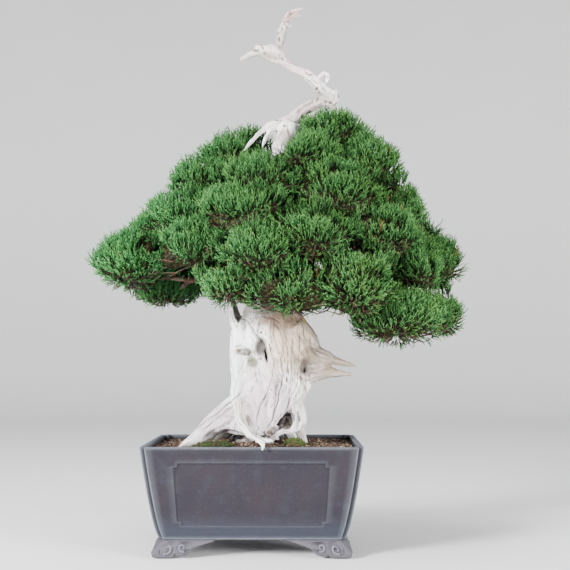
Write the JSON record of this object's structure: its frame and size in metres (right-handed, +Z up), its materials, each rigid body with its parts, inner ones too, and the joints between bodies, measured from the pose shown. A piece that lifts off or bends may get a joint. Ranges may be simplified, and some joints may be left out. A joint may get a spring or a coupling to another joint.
{
  "type": "itoigawa juniper bonsai in a pot",
  "caption": "Juniper bonsai with a twisted trunk of bleached deadwood, a wide crown of foliage pads and dead arms above it, in a deep rectangular stoneware pot with scroll feet.",
  "frame": {"origin": "middle of the underside of the whole, on the surface that the pot's feet stand on", "axes": "+Z up, -Y towards the front of the tree, +X to the right"},
  "size_m": [0.6241, 0.4073, 0.8966],
  "materials": {
    "stoneware": "matte",
    "screen": "matte",
    "soil": "matte",
    "deadwood": "matte",
    "bark": "matte",
    "foliage": "matte",
    "moss": "matte"
  },
  "bodies": {
    "root": {"pot": "stoneware", "screen_left": "screen", "screen_right": "screen", "soil": "soil", "deadwood": "deadwood", "live_wood": "bark", "moss_right": "moss", "moss_left": "moss", "pad_left_low": "foliage", "pad_left_low_under": "foliage", "pad_left_mid_outer": "foliage", "pad_left_mid_front": "foliage", "pad_left_upper_mid": "foliage", "pad_left_upper": "foliage", "pad_left_crest": "foliage", "pad_left_peak": "foliage", "pad_right_peak": "foliage", "pad_centre_peak": "foliage", "pad_right_upper": "foliage", "pad_centre_upper": "foliage", "pad_right_mid_front": "foliage", "pad_right_mid_outer": "foliage", "pad_centre_mid": "foliage", "pad_centre_right_mid": "foliage", "pad_right_middle": "foliage", "pad_right_tip": "foliage", "pad_right_behind": "foliage", "pad_right_hang": "foliage", "pad_right_low_front": "foliage", "pad_centre_low_front": "foliage", "pad_right_low": "foliage", "pad_right_low_tip": "foliage", "pad_left_inner_low": "foliage", "pad_centre_low": "foliage", "pad_back_left_low": "foliage", "pad_back_left_mid": "foliage", "pad_back_top": "foliage", "pad_back_right_mid": "foliage", "pad_back_right_low": "foliage", "pad_back_middle_low": "foliage", "pad_back_middle": "foliage"}
  },
  "joints": []
}
